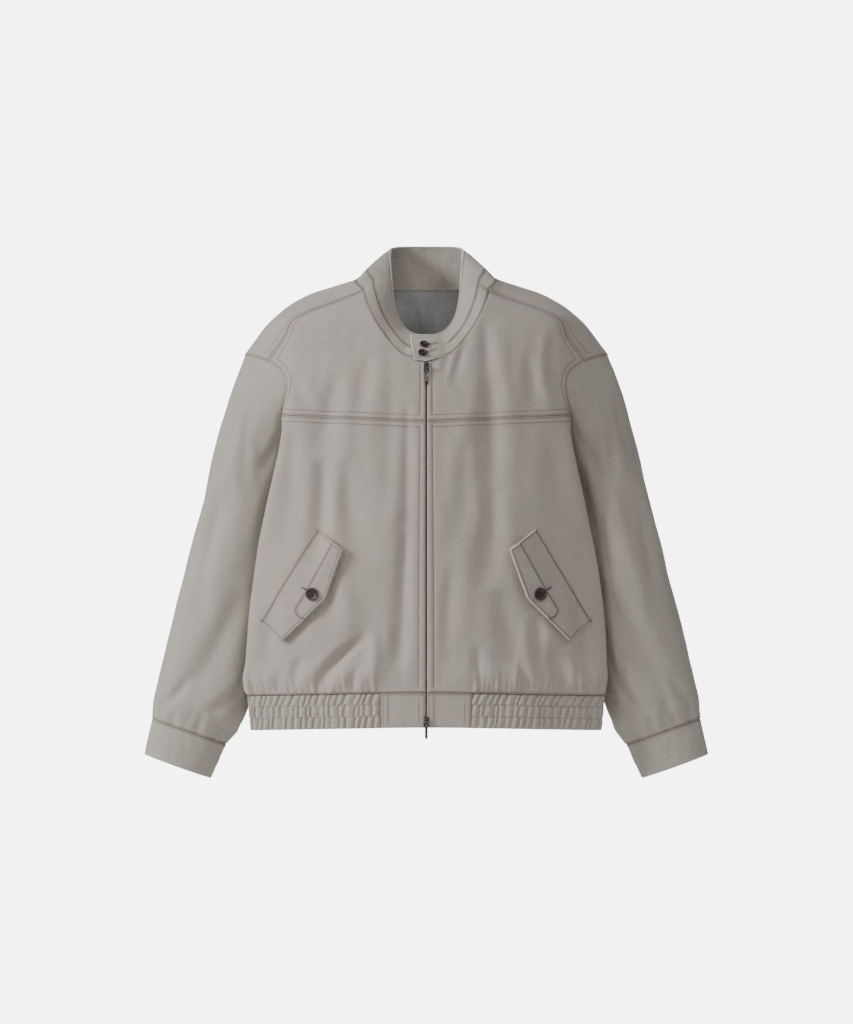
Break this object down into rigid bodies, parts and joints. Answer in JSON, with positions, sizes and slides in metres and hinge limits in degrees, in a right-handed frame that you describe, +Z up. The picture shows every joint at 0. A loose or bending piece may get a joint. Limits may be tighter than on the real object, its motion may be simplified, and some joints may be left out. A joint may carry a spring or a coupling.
{
  "type": "harrington jacket",
  "caption": "Zip-front harrington jacket in stone cotton twill, with a buttoned stand collar, slanted pocket flaps and elastic waistband, filled out and hollow as if worn.",
  "frame": {"origin": "inside the neck opening, level with the neck end of the shoulders, where the wearer holds the jacket up", "axes": "+Z up, the front faces -Y, +X is the wearer's left"},
  "size_m": [0.848, 0.2104, 0.8011],
  "materials": {
    "cloth": "matt stone-grey cotton twill",
    "lining": "smooth cool grey satin",
    "button": "dark brown horn look, polished",
    "zip_tape": "woven zip tape with metal teeth along its edge",
    "zip_metal": "dark antique nickel"
  },
  "bodies": {
    "jacket": {"back": "cloth", "back_lining": "lining", "collar": "cloth", "collar_band": "cloth", "collar_button_lower": "button", "collar_button_upper": "button", "collar_tab": "cloth", "cuff_left": "cloth", "cuff_right": "cloth", "flap_left": "cloth", "flap_right": "cloth", "flap_tab_left": "cloth", "flap_tab_right": "cloth", "front_left": "cloth", "front_right": "cloth", "pocket_button_left": "button", "pocket_button_right": "button", "sleeve_left": "cloth", "sleeve_right": "cloth", "slider_bottom": "zip_metal", "slider_top": "zip_metal", "waistband_elastic": "cloth", "waistband_front_left": "cloth", "waistband_front_right": "cloth", "yoke_left": "cloth", "yoke_right": "cloth", "zip_left": "zip_tape", "zip_right": "zip_tape"},
    "top_pull": {"pull_top": "zip_metal"},
    "bottom_pull": {"pull_bottom": "zip_metal"}
  },
  "joints": [
    {"name": "top_pull_hinge", "type": "hinge", "parent": "jacket", "child": "top_pull", "pos_m": [0, -0.0987, -0.11763], "axis": [-1, 0, 0], "range_deg": [0, 60]},
    {"name": "bottom_pull_hinge", "type": "hinge", "parent": "jacket", "child": "bottom_pull", "pos_m": [0, -0.09783, -0.64417], "axis": [-1, 0, 0], "range_deg": [0, 150]}
  ]
}
